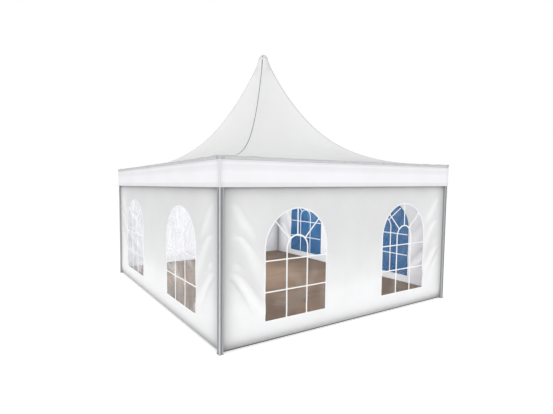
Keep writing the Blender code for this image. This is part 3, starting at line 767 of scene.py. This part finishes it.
def window_bars(side, name, middle, reach):
    """The welded border, and the bars of three lanes under a fan, all in one piece."""
    parts = Parts()
    window = (side, middle, reach)
    lane = reach / 3
    loops = []
    for margin, out in ((-0.005, -0.0010), (-0.005, 0.0012), (-0.003, 0.0018), (0.012, 0.0018), (0.014, 0.0012), (0.014, -0.0002)):
        u, z = outline(middle, reach, margin)
        loops.append(on_side(side, u, WALL_PLANE + out + billow(side, u, z), z))
    parts.add(*loop_solid(np.stack(loops, 1), closed=True))
    for sign in (-1, 1):
        z = np.linspace(SILL - 0.005, SPRING, 61)
        bar(parts, window, middle + sign * lane + 0 * z, z, 0.022, 0.0030, -0.0020)
    for level in (0.71, 1.15):
        u = np.linspace(middle - reach - 0.004, middle + reach + 0.004, 73)
        bar(parts, window, u, level + 0 * u, 0.018, 0.0026, -0.0018)
    turn = np.radians(np.linspace(0, 180, 33))
    bar(parts, window, middle + lane * np.cos(turn), SPRING + lane * np.sin(turn), 0.021, 0.0033, -0.0022)
    for angle in (45, 90, 135):
        run = np.linspace(lane - 0.004, reach + 0.004, 17)
        u = middle + run * math.cos(math.radians(angle))
        bar(parts, window, u, SPRING + run * math.sin(math.radians(angle)), 0.019, 0.0028, -0.0019)
    return parts.made(name + "_bars", BAR_CLOTH, "cloth", sharp_angle=50)


def level_strip(name, side, ends, low, high, out, thick, finish, slot="cloth", wavy=True):
    """A flat strip along a side, from one height to another, laid on the wall."""
    u = wall_columns(ends[0], ends[1], 0.03)
    z = np.linspace(low, high, 5)[:, None]
    u, z = np.broadcast_arrays(u[None, :], z)
    lift = billow(side, u, z) if wavy else 0
    points = on_side(side, u, out + lift, z)
    return piece(name, points, grid_faces(*u.shape), finish, slot, thick, 0, wall_shade(side, u, z))


def make_walls():
    for side in (0, 1, 3):
        cloth = windowed_wall(side)
        hem = level_strip(
            SIDES[side] + "_cloth_hem", side, (-2.452, 2.452), 0.0355, 0.075, WALL_PLANE + 0.0012, 0.0011, WALL_CLOTH
        )
        for name, middle, reach in windows_of(side):
            film = film_sheet(side, name, middle, reach)
            bars = window_bars(side, name, middle, reach)


def make_back_wall():
    """Two halves that meet at a zip, with its tapes, teeth, slider and a storm flap beside it."""
    side = 2
    for half, low, high in (("right", -WALL_END, -0.004), ("left", 0.004, WALL_END)):
        u = wall_columns(low, high, 0.022)
        z = wall_columns(WALL_BOTTOM, WALL_TOP, 0.024)[:, None]
        u, z = np.broadcast_arrays(u[None, :], z)
        near_zip = 1 - smooth_step((np.abs(u) - 0.02) / 0.12)
        out = WALL_PLANE + billow(side, u, z) * (1 - near_zip)
        name = "back_cloth_" + half
        made = piece(
            name, on_side(side, u, out, z), grid_faces(*u.shape), WALL_CLOTH, "cloth", CLOTH, 0, wall_shade(side, u, z)
        )
        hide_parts("back_wall_" + half)
        hem = level_strip(
            name + "_hem", side, (max(low, -2.452), min(high, 2.452)), 0.0355, 0.075, WALL_PLANE + 0.0012, 0.0011, WALL_CLOTH
        )
    tapes, teeth = Parts(), Parts()
    for sign in (-1, 1):
        low, high = sorted((sign * 0.0035, sign * 0.021))
        rings = []
        for z in np.linspace(0.045, 2.428, 60):
            rings.append(on_side(side, np.array([low, high, high, low]), WALL_PLANE + np.array([0.0016, 0.0016, 0.0007, 0.0007]), z))
        tapes.add(*loop_solid(rings))
    for number in range(470):
        z = 0.05 + number * 0.005
        u0, u1 = (-0.0045, 0.001) if number % 2 else (-0.001, 0.0045)
        low = on_side(side, u0, WALL_PLANE + 0.0012, z)
        high = on_side(side, u1, WALL_PLANE + 0.0046, z + 0.0036)
        teeth.add(*block(np.minimum(low, high), np.maximum(low, high)))
    tape = tapes.made("back_zip_tape", ZIP_TAPE, "cloth")
    teeth.made("back_zip_teeth", ZIP_METAL, "aluminium")
    slider = Parts()
    outline_u = np.array([-0.011, 0.011, 0.008, 0.0085, -0.0085, -0.008])
    outline_z = np.array([0.080, 0.080, 0.095, 0.108, 0.108, 0.095])
    slider.add(*loop_solid([on_side(side, outline_u, WALL_PLANE + out, outline_z) for out in (0.0052, 0.0068, 0.0078)]))
    turn = np.linspace(0, math.tau, 20, endpoint=False)
    rings = []
    for angle in turn:
        middle = (0.007 * math.cos(angle), 0.083 + 0.012 * math.sin(angle))
        around = np.linspace(0, math.tau, 8, endpoint=False)
        u = middle[0] + 0.0012 * np.cos(around) * math.cos(angle)
        z = middle[1] + 0.0012 * np.cos(around) * math.sin(angle)
        rings.append(on_side(side, u, WALL_PLANE + 0.0092 + 0.0012 * np.sin(around), z))
    slider.add(*loop_solid(rings, closed=True))
    slider.made("back_zip_slider", ZIP_METAL, "aluminium")
    u = np.linspace(0.024, 0.094, 8)
    z = wall_columns(0.05, 2.427, 0.03)[:, None]
    u, z = np.broadcast_arrays(u[None, :], z)
    free = (u - 0.024) / 0.07
    out = WALL_PLANE + 0.002 + free * (0.006 + 0.004 * np.sin(5.1 * z) + 0.002 * np.sin(13 * z + 1))
    flap = piece("back_storm_flap", on_side(side, u, out, z), grid_faces(*u.shape), HEM_CLOTH, "cloth", 0.0011, 0)
    return tape


# Fascia and roof


def make_fascia():
    """Bands that hang from the keder rails, round at the corners, with hems, painted shade beside the corners, and a
    grey strip of painted shade at each corner.
    """
    steps = np.radians(np.linspace(0, 45, 7))[1:]
    for side in range(4):
        straight = wall_columns(-HALF, HALF, 0.0125)
        bend_u, bend_out = HALF + FASCIA_ROUND * np.sin(steps), HALF + FASCIA_ROUND * np.cos(steps)
        u = np.concatenate([-bend_u[::-1], straight, bend_u])
        out = np.concatenate([bend_out[::-1], np.full(len(straight), HALF + FASCIA_ROUND), bend_out])
        z = np.linspace(FASCIA_LOW, FASCIA_HIGH, 17)[:, None]
        hang = smooth_step((FASCIA_HIGH - z) / 0.35) * smooth_step((2.44 - np.abs(u[None, :])) / 0.35)
        lift = hang * (swell(2.6 * u[None, :], 1.5 * z, 70 + side, 0.010) - 0.001)
        u2, z2 = np.broadcast_arrays(u[None, :], z)
        name = SIDES[side] + "_fascia_cloth"
        # Painted shade beside the rounded corners
        corner_shade = CORNER_SHADE * np.exp(-((np.clip(HALF + 0.004 - np.abs(u2), 0, None) / 0.05) ** 2))
        points = on_side(side, u2, out[None, :] + lift, z2)
        band = piece(name, points, grid_faces(*u2.shape), FASCIA_CLOTH, "cloth", CLOTH, 0, corner_shade)
        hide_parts(SIDES[side] + "_fascia")
        for label, low, high in (("hem", FASCIA_LOW - 0.0004, 2.224), ("rim", 2.503, FASCIA_HIGH)):
            zt = np.linspace(low, high, 5)[:, None]
            hang_t = smooth_step((FASCIA_HIGH - zt) / 0.35) * smooth_step((2.44 - np.abs(u[None, :])) / 0.35)
            lift_t = hang_t * (swell(2.6 * u[None, :], 1.5 * zt, 70 + side, 0.010) - 0.001) + 0.0011
            ut, zt = np.broadcast_arrays(u[None, :], zt)
            grow = (out - HALF) / FASCIA_ROUND
            grown_u = np.sign(u) * np.where(np.abs(u) > HALF, np.abs(u) + 0.0011 * np.sin(np.arctan2(np.abs(u) - HALF, out - HALF)), np.abs(u))
            points = on_side(side, np.broadcast_to(grown_u, ut.shape), out[None, :] + lift_t * grow, zt)
            # The same painted shade beside the corners, on the hem and rim
            corner_shade = CORNER_SHADE * np.exp(-((np.clip(HALF + 0.004 - np.abs(ut), 0, None) / 0.05) ** 2))
            piece(f"{name}_{label}", points, grid_faces(*ut.shape), FASCIA_CLOTH, "cloth", 0.0009, 0, corner_shade)
        # A grey strip round the corner stands for its shade: painted shade
        strip = Parts()
        rings = []
        for z in np.linspace(FASCIA_LOW, FASCIA_HIGH, 12):
            ring = []
            for radius in (FASCIA_ROUND + 0.0009, FASCIA_ROUND + 0.0021):
                for angle in np.radians(np.linspace(180, 270, 9) if radius < FASCIA_ROUND + 0.001 else np.linspace(270, 180, 9)):
                    ring.append((-HALF + radius * math.cos(angle), -HALF + radius * math.sin(angle)))
            ring = np.array(ring)
            rings.append(on_side(side, ring[:, 0], -ring[:, 1], z))
        strip.add(*loop_solid(rings))
        strip.made(CORNERS[side] + "_fascia_shade_strip", CORNER_SHADE_CLOTH, "cloth")


def hip_point(share):
    """Reach along the hip and height, on one smooth curve from the mast to the corner."""
    order = len(HIP_HANDLES) - 1
    total = np.zeros((2, *np.shape(share)))
    for number, handle in enumerate(HIP_HANDLES):
        weight = math.comb(order, number) * share**number * (1 - share) ** (order - number)
        total += np.multiply.outer(np.array(handle), weight)
    return total


def roof_points(side, along, share, lift=0.0):
    """Points of one gore, from hip to hip, raised a little off the roof's curve where asked."""
    reach, height = hip_point(share)
    low, high = ROUND_TO_SQUARE
    square = smooth_step((reach - low) / (high - low))
    flat = reach / math.sqrt(2)
    drawn_in = ROOF_HOLLOW * 4 * share * (1 - share) * (1 - along * along)
    turn = math.radians(45) * along
    x = square * flat * along + (1 - square) * reach * np.sin(turn)
    y = square * flat * (1 - drawn_in) + (1 - square) * reach * np.cos(turn)
    down = smooth_step((share - 0.55) / 0.45)
    ripple = 0.0035 * (1 + np.sin(15.0 * x + side)) * np.exp(-((HALF - np.abs(x)) / 1.2) ** 2) * down**6
    sag = swell(0.9 * x, 0.8 * y, 90 + side, 0.010) * np.sin(math.pi * share) ** 2 * (1 - along**2)
    return on_side(side, x, y + 0.3 * lift, height + ripple + sag + lift)


def make_roof():
    """One cover of four gores welded at the hips, the welds, and the cap at the peak."""
    rows, across = 72, 56
    share = np.linspace(0, 1, rows + 1)[:, None]
    along = np.linspace(-1, 1, across + 1)[None, :-1]
    gores = [roof_points(side, *np.broadcast_arrays(along, share)) for side in range(4)]
    points = np.concatenate(gores, axis=1)
    hip = np.zeros(points.shape[:2], bool)
    hip[12:, ::across] = True
    # Painted shade on each gore, darkest on the front gore, none on the left
    gore_shade = np.tile(np.repeat((0.035, 0.02, 0.02, 0.0), across), (rows + 1, 1))
    cover = piece(
        "roof_cover", points, grid_faces(*points.shape[:2], closed=True), ROOF_CLOTH, "cloth", CLOTH, -1, gore_shade, hip
    )
    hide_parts(*[name + "_roof_panel" for name in SIDES])
    corner = points[:, :across]
    for side in range(4):
        gore = roof_points(side, *np.broadcast_arrays(np.linspace(-1, 1, across + 1)[None, :], share))
    welds = Parts()
    share = np.linspace(0.02, 1, 90)
    reach, height = hip_point(share)
    run, rise = np.gradient(reach), np.gradient(height)
    long = np.hypot(run, rise)
    for side in range(4):
        half = 0.0105 / np.clip(reach / math.sqrt(2), 0.05, None)
        here = roof_points(side, -1 + np.minimum(half, 0.9), share)
        there = roof_points((side + 3) % 4, 1 - np.minimum(half, 0.9), share)
        ridge = roof_points(side, -np.ones_like(share), share)
        out = on_side(side, rise / long / math.sqrt(2), -rise / long / math.sqrt(2), run / long)
        welds.add(*loop_solid(np.stack(
            [there - 0.001 * out, there + 0.0022 * out, ridge + 0.0024 * out, here + 0.0022 * out, here - 0.001 * out, ridge - 0.001 * out], 1
        )))
    weld = welds.made("roof_hip_welds", WELD_CLOTH, "cloth")
    around = np.linspace(0, math.tau, 10, endpoint=False)
    edge = Parts()
    rings = []
    for side in range(4):
        for u in np.linspace(-1, 1, 65)[:-1]:
            reach = 2.5265 + 0.0045 * np.cos(around)
            rings.append(on_side(side, u * reach, reach, 2.5755 + 0.0045 * np.sin(around)))
    edge.add(*loop_solid(rings, closed=True))
    edge.made("roof_edge_keder", KEDER_CLOTH, "cloth", sharp_angle=80)
    turn = np.linspace(0, math.tau, 64, endpoint=False)
    profile = [(0.0965, 4.9012), (0.0970, 4.904), (0.0945, 4.909), (0.0840, 4.925), (0.0690, 4.948)]
    for angle in np.radians(np.linspace(0, 86, 12)):
        profile.append((0.0560 * math.cos(angle), 4.967 + 0.0188 * math.sin(angle)))
    rings = [np.stack([r * np.cos(turn), r * np.sin(turn), np.full(len(turn), z)], -1) for r, z in profile]
    cap = Parts()
    cap.add(*loop_solid(rings))
    made = cap.made("peak_cap", CAP_CLOTH, "cloth", sharp_angle=60)
    ribs = Parts()
    for side in range(4):
        turn = math.radians(45 + 90 * side)
        rings = []
        for reach, z in profile[2:]:
            rings.append([
                ((reach + out) * math.cos(turn) - across * math.sin(turn), (reach + out) * math.sin(turn) + across * math.cos(turn), z + out)
                for across, out in ((-0.009, -0.001), (-0.009, 0.0006), (0.0, 0.0016), (0.009, 0.0006), (0.009, -0.001))
            ])
        ribs.add(*loop_solid(rings))
    ribs.made("peak_cap_welds", WELD_CLOTH, "cloth")
    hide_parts("mast_cap")


# Frame and floor


def dress_frame():
    """Each CAD node that stays gets its finish."""
    finishes = {
        "_foot": GALVANISED,
        "_leg": LEG_METAL,
        "_eave_beam": KEDER_RAIL,
        "_corner_head": CASTING,
        "_ground_rail": EXTRUSION,
        "_stay": CABLE,
        "mast": EXTRUSION,
        "mast_hub": CASTING,
        "floor_frame": JOIST_SHADE_WOOD,
        "front_deck": FLOOR_WOOD,
        "back_deck": FLOOR_WOOD,
    }
    for name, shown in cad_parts.items():
        for end, finish in finishes.items():
            if name == end or (end.startswith("_") and name.endswith(end)):
                for slot in shown.material_slots:
                    slot.material = finish
                if not shown.material_slots:
                    shown.data.materials.append(finish)


def make_deck_seam():
    """A dark strip in the joint across the middle of the floor."""
    strip = Parts()
    rings = [
        [(x, -0.014, DECK_TOP + 0.0001), (x, -0.012, DECK_TOP + 0.0009), (x, 0.012, DECK_TOP + 0.0009), (x, 0.014, DECK_TOP + 0.0001)]
        for x in np.linspace(-2.452, 2.452, 60)
    ]
    strip.add(*loop_solid(rings))
    strip.made("deck_seam_strip", SEAM_STRIP, "plywood")


# Studio


def make_studio():
    scene = bpy.context.scene
    scene.view_settings.view_transform = "Standard"
    scene.view_settings.look = "None"
    ground = bpy.data.meshes.new("studio_floor")
    rim = [(60 * math.cos(a), 60 * math.sin(a), 0) for a in np.linspace(0, math.tau, 48, endpoint=False)]
    ground.from_pydata(rim, [], [list(range(48))])
    floor = bpy.data.objects.new("studio_floor", ground)
    scene.collection.objects.link(floor)
    pale, tree, shader, _ = bare("studio_pale")
    shader.inputs["Base Color"].default_value = (0.82, 0.82, 0.82, 1)
    shader.inputs["Roughness"].default_value = 0.9
    shader.inputs["Specular IOR Level"].default_value = 0.0
    shader.inputs["Emission Color"].default_value = (1, 1, 1, 1)
    shader.inputs["Emission Strength"].default_value = 0.40
    ground.materials.append(pale)
    world = bpy.data.worlds.new("studio")
    scene.world = world
    world.use_nodes = True
    tree = world.node_tree
    background = tree.nodes["Background"]
    seen = node(tree, "ShaderNodeLightPath").outputs["Is Camera Ray"]
    level = node(tree, "ShaderNodeMapRange", {0: seen, 3: 0.42, 4: 1.0})
    tree.links.new(level.outputs[0], background.inputs["Strength"])
    background.inputs["Color"].default_value = (1, 1, 1, 1)
    suns = (("key", (63, 0, -48), 1.22, 24), ("fill", (70, 0, 10), 0.2, 50), ("top", (16, 0, -70), 0.85, 60))
    for name, turn, energy, angle in suns:
        sun = bpy.data.lights.new(name, "SUN")
        sun.energy = energy
        sun.angle = math.radians(angle)
        lamp = bpy.data.objects.new(name, sun)
        lamp.rotation_euler = [math.radians(a) for a in turn]
        scene.collection.objects.link(lamp)
    for name, place, energy in (("inside_low", (0.3, 0.3, 1.7), 135), ("inside_high", (-0.4, 0.6, 2.9), 65), ("inside_left", (-1.6, 0.6, 0.9), 22)):
        glow = bpy.data.lights.new(name, "POINT")
        glow.energy = energy
        glow.shadow_soft_size = 0.5
        glow.specular_factor = 0
        glow.color = (0.93, 0.96, 1.0)
        lamp = bpy.data.objects.new(name, glow)
        lamp.location = place
        lamp.visible_camera = False
        lamp.visible_glossy = False
        scene.collection.objects.link(lamp)
    lens = bpy.data.cameras.new("camera")
    lens.sensor_width = 36
    lens.lens = 360.1 * 36 / 553
    lens.shift_x = (276.5 - 210.3) / 553
    camera = bpy.data.objects.new("camera", lens)
    camera.location = (-4.768, -6.453, 2.216)
    camera.rotation_euler = (math.radians(90 - 3.61), 0, math.radians(-28.30))
    scene.collection.objects.link(camera)
    scene.camera = camera


make_studio()
dress_frame()
make_walls()
make_back_wall()
make_fascia()
make_roof()
make_deck_seam()
